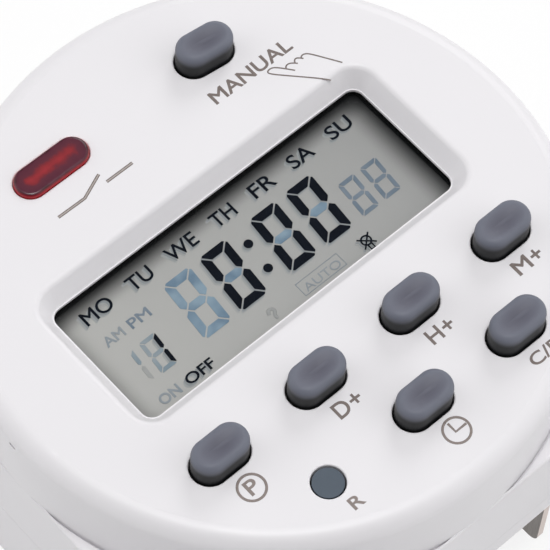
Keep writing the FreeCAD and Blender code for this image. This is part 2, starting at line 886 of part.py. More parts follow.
def relay_winding():
    x0 = bobbin_x + bobbin_flange
    x1 = bobbin_end_x - bobbin_flange
    wire = bar(winding_radius, x0, x1, relay_y, coil_z)
    return wire.cut(bar(bobbin_barrel, x0 - cut, x1 + cut, relay_y, coil_z))


def relay_yoke():
    half = yoke_width / 2
    back = block(yoke_back_x, bobbin_x, relay_y - half, relay_y + half, yoke_z, coil_z + pole_radius)
    arm = block(yoke_back_x, armature_x - relay_fit, relay_y - half, relay_y + half, yoke_z, yoke_top_z)
    hole = bar(core_radius, yoke_back_x - cut, bobbin_x + cut, relay_y, coil_z)
    return joined([back, arm]).cut(hole)


def relay_core():
    stem = bar(core_radius, yoke_back_x, pole_x, relay_y, coil_z)
    return stem.fuse(bar(pole_radius, bobbin_end_x, pole_x, relay_y, coil_z)).removeSplitter()


# Armature: an L that rocks on the end of the yoke and lifts the moving contact.
def relay_armature():
    half = armature_width / 2
    upright = block(armature_x, armature_x + armature_thickness, relay_y - half, relay_y + half,
                    tail_top_z, coil_z + pole_radius)
    tail = block(armature_x + relay_fit, armature_x + armature_tail, relay_y - half, relay_y + half,
                 tail_top_z - armature_thickness, tail_top_z)
    return joined([upright, tail])


def relay_moving_contact():
    half = contact_leaf_width / 2
    leaf = block(armature_x + armature_thickness, button_x + contact_button_radius, relay_y - half,
                 relay_y + half, tail_top_z, tail_top_z + contact_leaf)
    button = rod(contact_button_radius, button_x, relay_y, tail_top_z, moving_button_top())
    return joined([leaf, button])


def moving_button_top():
    return tail_top_z + contact_leaf + contact_button_height


def relay_fixed_contact():
    half = contact_leaf_width / 2
    button_z = moving_button_top() + contact_gap
    arm_z = button_z + contact_button_height
    button = rod(contact_button_radius, button_x, relay_y, button_z, arm_z + contact_leaf)
    arm = block(button_x - contact_button_radius, contact_end_x, relay_y - half, relay_y + half,
                arm_z, arm_z + 2 * contact_leaf)
    leg = block(contact_end_x - 2 * contact_leaf, contact_end_x, relay_y - half, relay_y + half,
                arm_z, relay_base_z)
    return joined([button, arm, leg])


def dropper_capacitor():
    x0 = -power_board_half + dropper_edge_gap
    x1 = relay_left_x - dropper_gap
    return plate(x1 - x0, dropper_width, dropper_corner, (x0 + x1) / 2, relay_y,
                 rear_wall + dropper_rear_gap, power_board_z)


def smoothing_x():
    return -power_board_half + smoothing_edge_gap + smoothing_radius


def smoothing_capacitor():
    y = relay_side_y + smoothing_relay_gap + smoothing_radius
    low = rear_wall + smoothing_rear_gap
    can = rod(smoothing_radius, smoothing_x(), y, low, power_board_z)
    return fillet_at(can, low, can_rounding)


def axial_part(radius, length, x, y):
    """Round part that lies along X under the power board, with its two bent leads."""
    z = power_board_z - radius - lead_radius
    body = bar(radius, x - length / 2, x + length / 2, y, z)
    reach = length / 2 + lead_reach
    pieces = [body, bar(lead_radius, x - reach, x + reach, y, z)]
    for side in (-1, 1):
        pieces.append(rod(lead_radius, x + side * reach, y, z, power_board_z))
        pieces.append(Part.makeSphere(lead_radius, Vector(x + side * reach, y, z)))
    return joined(pieces)


def varistor():
    x = -power_board_half + varistor_edge_gap + varistor_radius
    y = bay_back_y + varistor_wall_gap + varistor_thickness / 2
    z = power_board_z - varistor_radius - lead_reach
    disc = Part.makeCylinder(varistor_radius, varistor_thickness,
                             Vector(x, y - varistor_thickness / 2, z), Vector(0, 1, 0))
    rims = [edge for edge in disc.Edges if edge.Curve.TypeId == "Part::GeomCircle"]
    disc = disc.makeFillet(varistor_rounding, rims)
    leads = []
    for side in (-1, 1):
        leads.append(rod(lead_radius, x + side * varistor_radius / 2, y, z, power_board_z))
    return joined([disc] + leads)


def fuse_resistor():
    return axial_part(fuse_radius, fuse_length, relay_x, bay_back_y + fuse_wall_gap + fuse_radius)


def column_x():
    """Middle of the column of small parts, clear of the smoothing capacitor."""
    lead_side = smoothing_x() + smoothing_radius + row_gap
    return lead_side + lead_radius + lead_reach + max(resistor_length, diode_length) / 2


def board_resistors():
    y = relay_side_y + row_pitch
    return Part.makeCompound([
        axial_part(resistor_radius, resistor_length, column_x(), y + row_pitch * number)
        for number in range(resistor_count)
    ])


def rectifier_diodes():
    y = relay_side_y + row_pitch * (resistor_count + 1)
    return Part.makeCompound([
        axial_part(diode_radius, diode_length, column_x(), y + row_pitch * number)
        for number in range(diode_count)
    ])


def driver_transistor():
    x = cell_centre()[0] - cell_radius - cell_tab - transistor_cell_gap - transistor_width / 2
    y = relay_side_y + transistor_relay_gap + transistor_width / 2
    low = power_board_z - transistor_height - lead_reach
    high = power_board_z - lead_reach
    body = rod(transistor_width / 2, x, y, low, high)
    flat_y = y - transistor_width / 2 + transistor_depth
    body = body.cut(block(x - transistor_width, x + transistor_width, flat_y,
                          flat_y + transistor_width, low - cut, high + cut))
    legs = []
    for place in (-1, 0, 1):
        leg_x = x + place * transistor_pitch
        legs.append(rod(lead_radius, leg_x, y, high - lead_radius, power_board_z))
    return joined([body] + legs)


def cell_centre():
    x = relay_right_x - cell_tab_gap - cell_tab - cell_radius
    y = relay_side_y + cell_relay_gap + cell_radius
    return x, y


def backup_cell():
    x, y = cell_centre()
    top = power_board_z - cell_board_gap
    can = rod(cell_radius, x, y, top - cell_height, top)
    return fillet_at(can, top - cell_height, can_rounding)


def cell_tabs():
    """Two welded strips: one above the cell and one below it, each with a leg to the board."""
    x, y = cell_centre()
    top = power_board_z - cell_board_gap
    half = cell_tab_width / 2
    strips = []
    for side, level in ((-1, top), (1, top - cell_height - cell_tab)):
        leg_x = x + side * (cell_radius + cell_tab)
        x0, x1 = sorted((x, leg_x))
        leg_x0, leg_x1 = sorted((leg_x, leg_x - side * cell_tab))
        strips.append(joined([
            block(x0, x1, y - half, y + half, level, level + cell_tab),
            block(leg_x0, leg_x1, y - half, y + half, level, power_board_z),
        ]))
    return Part.makeCompound(strips)


def all_pieces():
    """Every piece under its node name."""
    pieces = {
        "front_cover": front_cover(),
        "rear_housing": rear_housing(),
        "display_window": display_window(),
        "lcd_front_polariser": display_layer(rear_glass_height, display_top_z, polariser_thickness),
        "lcd_front_glass": display_layer(front_glass_height, front_glass_top_z, glass_thickness),
        "lcd_rear_glass": display_layer(rear_glass_height, rear_glass_top_z, glass_thickness),
        "lcd_reflector": display_layer(rear_glass_height, reflector_top_z, reflector_thickness),
        "lcd_holder": lcd_holder(),
        "zebra_strips": zebra_strips(),
        "display_board": display_board(),
        "controller_blob": controller_blob(),
        "quartz_crystal": quartz_crystal(),
        "keypad_mat": keypad_mat(),
        "led_lens": led_lens(),
        "led_lamp": led_lamp(),
        "power_board": power_board(),
        "board_link_header": board_link_header(),
        "board_link_pins": board_link_pins(),
        "relay_case": relay_case(),
        "relay_base": relay_base(),
        "relay_bobbin": relay_bobbin(),
        "relay_winding": relay_winding(),
        "relay_yoke": relay_yoke(),
        "relay_core": relay_core(),
        "relay_armature": relay_armature(),
        "relay_moving_contact": relay_moving_contact(),
        "relay_fixed_contact": relay_fixed_contact(),
        "dropper_capacitor": dropper_capacitor(),
        "smoothing_capacitor": smoothing_capacitor(),
        "varistor": varistor(),
        "fuse_resistor": fuse_resistor(),
        "board_resistors": board_resistors(),
        "rectifier_diodes": rectifier_diodes(),
        "driver_transistor": driver_transistor(),
        "backup_cell": backup_cell(),
        "cell_tabs": cell_tabs(),
        "case_screws": case_screws(),
        "display_board_screws": display_board_screws(),
        "power_board_screws": power_board_screws(),
    }
    for name, x in tab_places().items():
        pieces[name] = blade_tab(x)
    for name, (x, y, turn) in key_places().items():
        pieces["key_" + name] = turned(oblong_key(x, y), x, y, turn)
        pieces["pill_" + name] = carbon_pill(x, y)
    x, y = reset_place()
    pieces["key_reset"] = round_key(x, y)
    pieces["pill_reset"] = carbon_pill(x, y)
    return pieces


os.makedirs("parts", exist_ok=True)
for name, shape in all_pieces().items():
    shape.exportStep("parts/" + name + ".step")
    print(name, len(shape.Solids), round(shape.Volume, 2), shape.isValid())
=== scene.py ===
import math

import bmesh
import bpy
from mathutils import Euler, Matrix, Vector


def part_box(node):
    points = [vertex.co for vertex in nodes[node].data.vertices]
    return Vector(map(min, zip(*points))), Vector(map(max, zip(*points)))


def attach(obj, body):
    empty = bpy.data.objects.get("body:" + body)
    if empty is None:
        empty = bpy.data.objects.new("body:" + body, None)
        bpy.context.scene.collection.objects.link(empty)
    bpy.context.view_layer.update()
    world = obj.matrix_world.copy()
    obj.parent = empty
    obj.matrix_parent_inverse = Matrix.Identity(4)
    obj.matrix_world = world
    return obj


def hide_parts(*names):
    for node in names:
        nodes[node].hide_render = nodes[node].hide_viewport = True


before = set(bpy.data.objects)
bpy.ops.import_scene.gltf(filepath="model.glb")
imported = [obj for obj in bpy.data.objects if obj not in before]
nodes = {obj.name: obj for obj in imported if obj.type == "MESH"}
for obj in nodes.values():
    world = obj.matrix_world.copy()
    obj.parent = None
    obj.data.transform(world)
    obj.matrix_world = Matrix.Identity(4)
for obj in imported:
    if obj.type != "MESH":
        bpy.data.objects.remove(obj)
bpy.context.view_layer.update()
mm = 0.001


# The table, the light and the camera. A pale sheet lies under the case, a soft lamp stands low
# behind it on the right, and a wide one hangs above. The room is brightest near the horizon and
# at two opposite sides, and the camera stands where the photograph's edges put it.
def linear(shade):
    """Linear colour of an sRGB hex value."""
    values = [int(shade[at:at + 2], 16) / 255 for at in (0, 2, 4)]
    return [v / 12.92 if v <= 0.04045 else ((v + 0.055) / 1.055) ** 2.4 for v in values] + [1.0]


def node(tree, kind, settings=None, links=None):
    """Adds one shader node with its settings, and joins its sockets to what feeds them."""
    made = tree.nodes.new("ShaderNode" + kind)
    for name, value in (settings or {}).items():
        if name == "stops":
            ends = made.color_ramp.elements
            ends[0].position, ends[0].color = value[0][0], linear(value[0][1])
            ends[-1].position, ends[-1].color = value[-1][0], linear(value[-1][1])
            for place, shade in value[1:-1]:
                ends.new(place).color = linear(shade)
        elif isinstance(name, int) or name in made.inputs.keys():
            made.inputs[name].default_value = value
        else:
            setattr(made, name, value)
    for name, source in (links or {}).items():
        tree.links.new(source, made.inputs[name])
    return made


def reckon(tree, operation, *terms):
    """The result of a maths node. Each term is a number, or the socket that gives it."""
    made = node(tree, "Math", {"operation": operation})
    for slot, term in enumerate(terms):
        if isinstance(term, (int, float)):
            made.inputs[slot].default_value = term
        else:
            tree.links.new(term, made.inputs[slot])
    return made.outputs[0]


def ranged(tree, value, ends=(0.0, 1.0), to=(0.0, 1.0), kind="LINEAR"):
    """Maps a value that runs between two ends to one that runs between two others."""
    return node(tree, "MapRange", {"interpolation_type": kind, "From Min": ends[0], "From Max": ends[1],
                                   "To Min": to[0], "To Max": to[1]}, {"Value": value}).outputs[0]


def parts_of(tree, vector):
    """The x, y and z sockets of a vector."""
    return node(tree, "SeparateXYZ", {}, {"Vector": vector}).outputs


def blank(name):
    """An empty material, its node tree and the coordinates of the object it lies on."""
    made = bpy.data.materials.new(name)
    made.use_nodes = True
    made.node_tree.nodes.clear()
    return made, made.node_tree, node(made.node_tree, "TexCoord").outputs["Object"]


def blended(tree, output, share, first, second):
    """Ends a tree with a mix of two shaders, of which the second has the given share."""
    both = node(tree, "MixShader", {}, {0: share, 1: first.outputs[0], 2: second.outputs[0]})
    node(tree, output, {}, {"Surface": both.outputs[0]})


table_half = 700 * mm
table_z = -0.02 * mm
table_own_share = 0.15
table_paper, tree, place = blank("pale_paper")
paper = node(tree, "BsdfDiffuse", {"Color": linear("F4F4F4")})
glow = node(tree, "Emission", {"Color": linear("FFFFFF"), "Strength": 1.0})
rays = node(tree, "LightPath").outputs
mirrored = reckon(tree, "MAXIMUM", rays["Is Camera Ray"], rays["Is Glossy Ray"])
white_to_eye = reckon(tree, "MAXIMUM", mirrored, rays["Is Transmission Ray"])
blended(tree, "OutputMaterial", reckon(tree, "MULTIPLY", white_to_eye, 1 - table_own_share), paper, glow)

form = bmesh.new()
bmesh.ops.create_grid(form, x_segments=1, y_segments=1, size=table_half,
                      matrix=Matrix.Translation((0, 0, table_z)))
sheet = bpy.data.meshes.new("table")
form.to_mesh(sheet)
form.free()
table = bpy.data.objects.new("table", sheet)
bpy.context.scene.collection.objects.link(table)
sheet.materials.append(table_paper)

room_low_level = 0.46
room_high_level = 0.34
room_high_at = 0.8
room_side_share = 2.0
room_least = 0.06
room = bpy.data.worlds.new("white_room")
bpy.context.scene.world = room
room.use_nodes = True
tree = room.node_tree
tree.nodes.clear()
heading = parts_of(tree, node(tree, "TexCoord").outputs["Generated"])
even = ranged(tree, reckon(tree, "ABSOLUTE", heading[2]), (0.0, room_high_at),
              (room_low_level, room_high_level))
corner = reckon(tree, "MULTIPLY", heading[0], heading[1])
sided = reckon(tree, "MULTIPLY_ADD", corner, -room_side_share, even)
level = reckon(tree, "MAXIMUM", sided, room_least)
air = node(tree, "Background", {"Color": linear("FFFFFF")}, {"Strength": level})
backdrop = node(tree, "Background", {"Color": linear("FFFFFF"), "Strength": 1.0})
blended(tree, "OutputWorld", node(tree, "LightPath").outputs["Is Camera Ray"], air, backdrop)

lamps = {
    "lamp_behind": {"azimuth": 32, "height": 34, "far": 0.95, "side": 0.57, "power": 2.4},
    "lamp_above": {"azimuth": -120, "height": 82, "far": 0.95, "side": 0.42, "power": 4.25},
}
for name, lamp in lamps.items():
    light = bpy.data.lights.new(name, "AREA")
    light.shape = "DISK"
    light.size = lamp["side"]
    light.energy = lamp["power"]
    holder = bpy.data.objects.new(name, light)
    bpy.context.scene.collection.objects.link(holder)
    turn = Euler((0, math.radians(90 - lamp["height"]), math.radians(lamp["azimuth"]))).to_matrix()
    holder.matrix_world = Matrix.Translation(turn @ Vector((0, 0, lamp["far"]))) @ turn.to_4x4()

sensor_width = 36
focal_length = 212.13
camera_place = (-102.07, -101.95, 294.33)
camera_turn = (28.2523, -1.9094, -41.8390)
lens = bpy.data.cameras.new("camera")
lens.sensor_width = sensor_width
lens.lens = focal_length
camera = bpy.data.objects.new("camera", lens)
camera.location = [along * mm for along in camera_place]
camera.rotation_euler = [math.radians(angle) for angle in camera_turn]
bpy.context.scene.collection.objects.link(camera)
bpy.context.scene.camera = camera
bpy.context.scene.view_settings.view_transform = "Standard"


# Rear housing: a square tray moulded in white ABS, with the terminal bay and its barriers.
# ABS from a polished and lightly eroded mould is satin, with a grain that just breaks the gloss.
def noise(tree, place, width, detail=3.0):
    """Soft noise whose spots are about width millimetres wide."""
    return node(tree, "TexNoise", {"Scale": 1 / (width * mm), "Detail": detail},
                {"Vector": place}).outputs[0]


def mixed(tree, share, first, second):
    """Mixes two shades, each a hex value or a socket, of which the second has the given share."""
    settings, links = {"data_type": "RGBA"}, {0: share}
    for slot, shade in ((6, first), (7, second)):
        if isinstance(shade, str):
            settings[slot] = linear(shade)
        else:
            links[slot] = shade
    return node(tree, "Mix", settings, links).outputs[2]


def bumped(tree, height, strength, depth, invert=False):
    """Turns a height of 0 to 1 into bumps of depth millimetres."""
    return node(tree, "Bump", {"Strength": strength, "Distance": depth * mm, "invert": invert},
                {"Height": height}).outputs[0]


def covered(made, settings, links):
    """Ends a material with its surface shader, and returns the material."""
    skin = node(made.node_tree, "BsdfPrincipled", settings, links)
    node(made.node_tree, "OutputMaterial", {}, {"Surface": skin.outputs[0]})
    return made


def moulded(name, light, dark, rough, cloud, grain, depth, gloss=None):
    """A moulded skin. Two near shades drift over cloud, and its grain is grain wide and depth deep."""
    made, tree, place = blank(name)
    drift = noise(tree, place, cloud)
    return covered(made, gloss, {"Base Color": mixed(tree, drift, light, dark),
                                 "Roughness": ranged(tree, drift, to=(rough - 0.06, rough + 0.06)),
                                 "Normal": bumped(tree, noise(tree, place, grain, 2.0), 0.6, depth)})


def dress(finish, *names):
    """Gives CAD pieces their finish."""
    for name in names:
        for slot in nodes[name].material_slots:
            slot.material = finish


white_abs = moulded("white_abs_moulded", "EDEBEE", "E9E7EA", 0.40, 14.0, 0.35, 0.004)
dress(white_abs, "rear_housing")


# Blade terminals: four blades stamped from brass strip and plated with dull nickel, which the
# slots of the housing hold. Nickel looks warm grey, with faint lines from the rolled strip. The
# broad faces are painted darker as a painted shadow of the case, and the sheared edges are
# lighter, partly bare metal and partly a painted highlight.
def metal(name, light, dark, rough, streak, along, sheared_and_highlit=None):
    """A bare or plated metal, whose streaks run along one axis.

    Faces that don't look along x, such as a strip's edges, take the sheared_and_highlit shade where it's
    given: partly bare metal, partly a painted highlight.
    """
    made, tree, place = blank(name)
    stretch = [1 / (streak * mm)] * 3
    stretch[along] = 1 / (streak * 25 * mm)
    lines = node(tree, "Mapping", {"Scale": stretch}, {"Vector": place})
    drift = node(tree, "TexNoise", {"Scale": 1.0, "Detail": 3.0}, {"Vector": lines.outputs[0]}).outputs[0]
    shade = mixed(tree, drift, light, dark)
    if sheared_and_highlit:
        facing = parts_of(tree, node(tree, "NewGeometry").outputs["Normal"])
        shade = mixed(tree, reckon(tree, "ABSOLUTE", facing[0]), sheared_and_highlit, shade)
    return covered(made, {"Metallic": 1.0}, {
        "Base Color": shade, "Roughness": ranged(tree, drift, to=(rough - 0.08, rough + 0.08)),
        "Normal": bumped(tree, drift, 0.3, 0.003)})


# Painted shadow: the broad faces are painted darker than nickel where the case shades them, and the edges
# carry a painted highlight.
nickel = metal("nickel_plated_brass", "7C7773", "66615E", 0.38, 0.12, 2, sheared_and_highlit="CFC2BC")
dress(nickel, "tab_supply_live", "tab_supply_neutral", "tab_contact_common", "tab_contact_open")


# Power board: glass epoxy with green solder resist over copper tracks, held by two screws and
# the legs of the blades. The resist is glossy, and the tracks under it show a lighter green.
def resist_board(name, track):
    """Solder resist over copper tracks of one width, which stand up under it."""
    made, tree, place = blank(name)
    cells = node(tree, "TexVoronoi", {"feature": "DISTANCE_TO_EDGE", "Scale": 1 / (track * 6 * mm),
                                      "Randomness": 0.7}, {"Vector": place})
    edge = ranged(tree, cells.outputs[0], (0.05, 0.08))
    return covered(made, {"Roughness": 0.28, "Coat Weight": 0.3}, {
        "Base Color": mixed(tree, edge, "3E7F52", "2A613C"),
        "Normal": bumped(tree, edge, 0.5, 0.03, invert=True)})


dress(resist_board("green_solder_resist", 0.5), "power_board")


# Relay: a small power relay under a blue case. Its coil pulls an L shaped armature, whose foot
# lifts the moving contact spring. Base and bobbin are glass filled nylon, yoke and core soft iron.
relay_blue = moulded("relay_case_blue_pbt", "2F5FA8", "28559B", 0.22, 6.0, 0.6, 0.003)
bobbin_nylon = moulded("glass_filled_nylon", "E4E0D2", "D8D3C4", 0.5, 3.0, 0.25, 0.008)
relay_black = moulded("black_pbt_base", "1D1D1F", "242426", 0.42, 5.0, 0.3, 0.006)
soft_iron = metal("zinc_plated_iron", "B9BCC0", "9EA2A8", 0.34, 0.2, 0)
spring_bronze = metal("bronze_spring_strip", "C9A66B", "B18E55", 0.3, 0.1, 0)
dress(relay_blue, "relay_case")
dress(relay_black, "relay_base")
dress(bobbin_nylon, "relay_bobbin")
dress(soft_iron, "relay_yoke", "relay_core", "relay_armature")
dress(spring_bronze, "relay_moving_contact", "relay_fixed_contact")


# Relay winding: enamelled copper wire in close turns on the bobbin. The real wire is finer than
# a tenth of a millimetre, and is drawn thicker here, so that its turns can be seen.
def place_piece(name, form, finish, body):
    """Makes a finished piece of a bmesh, dresses it and lets it ride on its body."""
    mesh = bpy.data.meshes.new(name)
    form.to_mesh(mesh)
    form.free()
    mesh.materials.append(finish)
    made = bpy.data.objects.new(name, mesh)
    bpy.context.scene.collection.objects.link(made)
    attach(made, body)
    return made


wire = 0.19 * mm
wire_points = 5
winding_steps = 48
winding_bore = 1.9 * mm
low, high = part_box("relay_winding")
turns = round((high.x - low.x) / wire)
pitch = (high.x - low.x) / turns
middle = (low + high) / 2
outer = (high.y - low.y) / 2
form = bmesh.new()
rim = []
for turn in range(turns):
    for step in range(wire_points):
        angle = math.pi * step / wire_points
        rim.append(form.verts.new((low.x + pitch * (turn + 0.5 - 0.5 * math.cos(angle)), middle.y,
                                   middle.z + outer - wire / 2 * (1 - math.sin(angle)))))
rim.append(form.verts.new((high.x, middle.y, middle.z + outer - wire / 2)))
rim.append(form.verts.new((high.x, middle.y, middle.z + winding_bore)))
rim.append(form.verts.new((low.x, middle.y, middle.z + winding_bore)))
line = [form.edges.new(pair) for pair in zip(rim, rim[1:] + rim[:1])]
bmesh.ops.spin(form, geom=rim + line, cent=middle, axis=(1, 0, 0), angle=2 * math.pi,
               steps=winding_steps, use_merge=True)
bmesh.ops.remove_doubles(form, verts=form.verts, dist=0.001 * mm)
bmesh.ops.recalc_face_normals(form, faces=form.faces)
enamel, tree, place = blank("enamelled_copper_wire")
covered(enamel, {"Metallic": 1.0, "Roughness": 0.3, "Coat Weight": 0.6},
        {"Base Color": mixed(tree, noise(tree, place, 0.8, 4.0), "B8622F", "8F4722")})
winding = place_piece("relay_winding_turns", form, enamel, "case")
for face in winding.data.polygons:
    face.use_smooth = True
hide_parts("relay_winding")


# Supply parts on the power board: a film capacitor that drops the mains, a smoothing capacitor,
# a varistor, a fusible resistor, resistors, diodes and the relay's driver transistor. All are
# soldered through the board.
def centre(name):
    """The middle of a node's box."""
    low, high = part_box(name)
    return (low + high) / 2


def banded(name, part, half, stops, rough):
    """A lacquered part that lies along x. Its bands are shares of its length of twice half."""
    made, tree, place = blank(name)
    middle = centre(part).x
    along = ranged(tree, parts_of(tree, place)[0], (middle - half * mm, middle + half * mm))
    rings = node(tree, "ValToRGB", {"stops": stops}, {"Fac": along})
    rings.color_ramp.interpolation = "CONSTANT"
    return covered(made, {"Roughness": rough}, {
        "Base Color": rings.outputs[0], "Normal": bumped(tree, noise(tree, place, 0.5, 2.0), 0.4, 0.02)})


film_red = moulded("film_capacitor_epoxy_red", "A8382A", "96301F", 0.25, 4.0, 0.8, 0.006)
varistor_epoxy = moulded("varistor_epoxy_blue", "2C62B4", "24549E", 0.35, 3.0, 0.7, 0.03)
can_sleeve = metal("drawn_aluminium_can", "C9CBCE", "B2B5B9", 0.3, 0.15, 2)
epoxy_black = moulded("black_epoxy_resin", "1A1A1B", "232324", 0.32, 2.5, 0.3, 0.01)
dress(film_red, "dropper_capacitor")
dress(varistor_epoxy, "varistor")
dress(can_sleeve, "smoothing_capacitor")
dress(epoxy_black, "driver_transistor")
lead, sand, grey, ink = "B9BBBE", "C8B183", "8C9291", "1C1C1D"
band_shades = [sand, "7A4A21", sand, "1A1A1A", sand, "B13A22", sand, "B58B2A", sand]
band_stops = [(0.26 + 0.055 * number, shade) for number, shade in enumerate(band_shades)]
resistor_lacquer = banded("banded_resistor_lacquer", "board_resistors", 5.1,
                          [(0.0, lead), (0.18, sand)] + band_stops + [(0.82, lead)], 0.35)
fuse_lacquer = banded("grey_fusible_lacquer", "fuse_resistor", 6.45,
                      [(0.0, lead), (0.17, grey), (0.35, "4B5A2F"), (0.42, grey), (0.5, "6E3F1C"),
                       (0.57, grey), (0.83, lead)], 0.5)
diode_body = banded("diode_moulding_with_ring", "rectifier_diodes", 4.25,
                    [(0.0, lead), (0.2, ink), (0.66, "C9C9C7"), (0.73, ink), (0.8, lead)], 0.4)
dress(resistor_lacquer, "board_resistors")
dress(fuse_lacquer, "fuse_resistor")
dress(diode_body, "rectifier_diodes")


# Backup cell: a rechargeable button cell in a nickel plated steel can, with two spot welded
# strips that go through the power board.
cell_steel = metal("nickel_plated_can", "C4C4C2", "ABABAA", 0.22, 0.25, 1)
strip_nickel = metal("pure_nickel_strip", "BDBAB2", "A29F98", 0.35, 0.1, 0)
dress(cell_steel, "backup_cell")
dress(strip_nickel, "cell_tabs")


# Link between the boards: a long black header moulded in nylon on eight square tinned pins,
# which are soldered into both boards.
tin = metal("tinned_pin", "C9CACB", "B4B6B9", 0.28, 0.1, 2)
header_black = moulded("header_black_nylon", "202022", "29292B", 0.45, 2.0, 0.25, 0.006)
dress(tin, "board_link_pins")
dress(header_black, "board_link_header")


# Display board: the front board with the drop of black resin over its controller chip and the
# tube of the quartz crystal. It is screwed to posts inside the cover.
crystal_can = metal("tinned_crystal_can", "C6C8CB", "ADB0B5", 0.2, 0.15, 0)
blob_epoxy = moulded("dropped_black_epoxy", "151516", "1D1D1E", 0.25, 3.0, 1.2, 0.03)
screw_steel = metal("zinc_plated_screw_steel", "BFC1C4", "A3A6AA", 0.27, 0.12, 2)
dress(resist_board("green_resist_fine_tracks", 0.3), "display_board")
dress(blob_epoxy, "controller_blob")
dress(crystal_can, "quartz_crystal")
dress(screw_steel, "display_board_screws", "power_board_screws")


# Display holder and contact strips: a black frame clips the glass over two rubber strips whose
# thin dark layers carry the signals from the board to the glass.
holder_black = moulded("holder_black_abs", "18181A", "202022", 0.5, 4.0, 0.3, 0.006)
dress(holder_black, "lcd_holder")
layer = 0.25 * mm
waves_in_unit = 20
zebra_rubber, tree, place = blank("layered_contact_rubber")
layers = node(tree, "TexWave", {"bands_direction": "X", "Scale": 1 / (layer * waves_in_unit),
                                "Distortion": 0.0}, {"Vector": place})
shade = node(tree, "ValToRGB", {"stops": [(0.45, "26262A"), (0.55, "C9C2B8")]},
             {"Fac": layers.outputs[0]})
dress(covered(zebra_rubber, {"Roughness": 0.6}, {"Base Color": shade.outputs[0]}), "zebra_strips")


# Display: liquid crystal between two glasses, with a polarising film in front and a foil that
# reflects behind. Through the film the whole stack looks like one matt sheet of greenish grey.
# Its colour is painted darker from left to right as a painted falloff of light, and painted to
# black near the frame's edges as the painted shade of the frame.
def clear_film(name, tint, glance):
    """A clear sheet with a faint smear, which mirrors more at a slant as glance grows."""
    made, tree, place = blank(name)
    rough = ranged(tree, noise(tree, place, 9, 2.0), to=(0.02, 0.07))
    through = node(tree, "BsdfTransparent", {"Color": linear(tint)})
    mirror = node(tree, "BsdfGlossy", {"Color": linear("FFFFFF")}, {"Roughness": rough})
    slant = node(tree, "LayerWeight", {"Blend": glance}).outputs["Facing"]
    blended(tree, "OutputMaterial", slant, through, mirror)
    return made


film_half_length = 19 * mm
film_edges = [{"axis": 0, "dark_at": 19.6, "lit_at": 16.0},
              {"axis": 0, "dark_at": -21.5, "lit_at": -17.0},
              {"axis": 1, "dark_at": 8.9, "lit_at": 6.0}]
grey_film, tree, place = blank("polariser_over_grey_reflector")
spot = parts_of(tree, place)
# Painted falloff of light: the film is painted lighter at the left and darker at the right.
across = ranged(tree, spot[0], (-film_half_length, film_half_length))
painted_falloff = reckon(tree, "MULTIPLY_ADD", noise(tree, place, 9), 0.2, across)
shade = mixed(tree, painted_falloff, "BBB8B5", "A7A5A4")
# Painted shade: the film's colour goes to black near the right, left and top edges of the frame.
for edge in film_edges:
    lit = ranged(tree, spot[edge["axis"]], (edge["dark_at"] * mm, edge["lit_at"] * mm), kind="SMOOTHSTEP")
    shade = mixed(tree, lit, "101114", shade)
covered(grey_film, {"Roughness": 0.45, "Specular IOR Level": 0.15}, {"Base Color": shade})
dress(grey_film, "lcd_front_polariser")
dress(clear_film("thin_display_glass", "E8F0EC", 0.15), "lcd_front_glass", "lcd_rear_glass")
dress(moulded("brushed_reflector_foil", "B9BBB8", "A9ABA8", 0.4, 5.0, 0.2, 0.004), "lcd_reflector")


# What the display shows: days, clock digits and state words as thin areas on the front film.
# The crystal is dark where it is driven and pale blue or grey where it rests. Places are in
# millimetres on the face, and a layer is the height of a print's base and its depth.
def mesh_of(curve):
    """The mesh of a curve or word, which is cleared away."""
    holder = bpy.data.objects.new(curve.name, curve)
    flat = bpy.data.meshes.new_from_object(holder)
    bpy.data.objects.remove(holder)
    bpy.data.curves.remove(curve)
    return flat


def add_flat(form, flat, matrix):
    """Places a mesh, adds it to a form and clears it away."""
    flat.transform(matrix)
    form.from_mesh(flat)
    bpy.data.meshes.remove(flat)


def word(form, text, across, up, layer, weight=0.0):
    """Adds a printed word that fills the box from across[0] to across[1] and up[0] to up[1]."""
    curve = bpy.data.curves.new("word", "FONT")
    curve.body = text
    curve.offset = min(weight, 0)
    curve.bevel_depth = max(weight, 0)
    curve.bevel_resolution = 1
    curve.extrude = 0.1
    curve.resolution_u = 5
    flat = mesh_of(curve)
    base, depth = layer
    least = [min(vert.co[axis] for vert in flat.vertices) for axis in range(3)]
    most = [max(vert.co[axis] for vert in flat.vertices) for axis in range(3)]
    wanted = ((across[1] - across[0]) * mm, (up[1] - up[0]) * mm, depth)
    scale = [size / (high - low) for size, low, high in zip(wanted, least, most)]
    add_flat(form, flat, Matrix.Translation((across[0] * mm, up[0] * mm, base))
             @ Matrix.Diagonal((*scale, 1)) @ Matrix.Translation([-value for value in least]))


def stroke(form, points, width, layer, closed=False, smooth=False):
    """Adds a printed line of one width along its points."""
    curve = bpy.data.curves.new("stroke", "CURVE")
    curve.dimensions = "3D"
    curve.bevel_depth = width * mm / 2
    curve.bevel_resolution = 2
    curve.resolution_u = 8
    curve.use_fill_caps = True
    line = curve.splines.new("NURBS" if smooth else "POLY")
    line.points.add(len(points) - 1)
    for spot, (x, y) in zip(line.points, points):
        spot.co = (x * mm, y * mm, 0, 1)
    line.use_cyclic_u = closed
    if smooth:
        line.order_u = 3
        line.use_endpoint_u = not closed
    base, depth = layer
    add_flat(form, mesh_of(curve), Matrix.Translation((0, 0, base + depth / 2))
             @ Matrix.Diagonal((1, 1, depth / (width * mm), 1)))


def ring(form, x, y, radius, width, layer):
    """Adds a printed circle."""
    around = [(x + radius * math.cos(math.radians(turn)), y + radius * math.sin(math.radians(turn)))
              for turn in range(0, 360, 10)]
    stroke(form, around, width, layer, closed=True)


digit_lean = 0.095
corner_cut = 0.45


